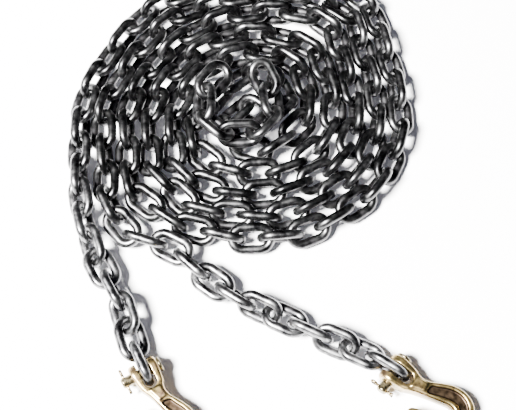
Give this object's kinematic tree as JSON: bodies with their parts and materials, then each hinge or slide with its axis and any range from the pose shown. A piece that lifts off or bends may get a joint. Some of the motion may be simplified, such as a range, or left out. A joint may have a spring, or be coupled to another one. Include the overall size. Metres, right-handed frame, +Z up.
{
  "type": "chain coil",
  "caption": "Steel chain laid in a flat coil, with clevis grab hooks on its loose ends, for tying down and hauling loads.",
  "frame": {"origin": "middle of the coil, on the floor it lies on", "axes": "+Z up; -Y from the coil towards the hooks, +X towards the right-hand hook"},
  "size_m": [0.4263, 0.5777, 0.0605],
  "materials": {
    "chain_steel": "bright bare steel, lightly oiled",
    "hook_chromate": "forged steel with yellow chromate plating",
    "pin_zinc": "plated steel"
  },
  "bodies": {
    "chain": {"coil_run_01": "chain_steel", "coil_run_02": "chain_steel", "coil_run_03": "chain_steel", "coil_run_04": "chain_steel", "coil_run_05": "chain_steel", "coil_run_06": "chain_steel", "coil_run_07": "chain_steel", "coil_run_08": "chain_steel", "coil_top_stretch": "chain_steel", "left_tail_link_01": "chain_steel", "left_tail_link_02": "chain_steel", "left_tail_link_03": "chain_steel", "left_tail_link_04": "chain_steel", "left_tail_link_05": "chain_steel", "left_tail_link_06": "chain_steel", "left_tail_link_07": "chain_steel", "left_tail_link_08": "chain_steel", "left_tail_link_09": "chain_steel", "left_tail_link_10": "chain_steel", "right_tail_link_01": "chain_steel", "right_tail_link_02": "chain_steel", "right_tail_link_03": "chain_steel", "right_tail_link_04": "chain_steel", "right_tail_link_05": "chain_steel", "right_tail_link_06": "chain_steel", "right_tail_link_07": "chain_steel", "right_tail_link_08": "chain_steel", "right_tail_link_09": "chain_steel", "right_tail_link_10": "chain_steel", "right_tail_link_11": "chain_steel", "right_tail_link_12": "chain_steel", "right_tail_link_13": "chain_steel"},
    "left_hook": {"left_hook_body": "hook_chromate", "left_clevis_pin": "pin_zinc", "left_cotter_pin": "pin_zinc"},
    "right_hook": {"right_hook_body": "hook_chromate", "right_clevis_pin": "pin_zinc", "right_cotter_pin": "pin_zinc"}
  },
  "joints": [
    {"name": "left_hook_pivot", "type": "hinge", "parent": "chain", "child": "left_hook", "pos_m": [-0.113, -0.2965, 0.016], "axis": [-0.866, -0.5, 0], "range_deg": [0, 60]},
    {"name": "right_hook_pivot", "type": "hinge", "parent": "chain", "child": "right_hook", "pos_m": [0.1395, -0.296, 0.016], "axis": [-0.6018, -0.7986, 0], "range_deg": [0, 60]}
  ]
}
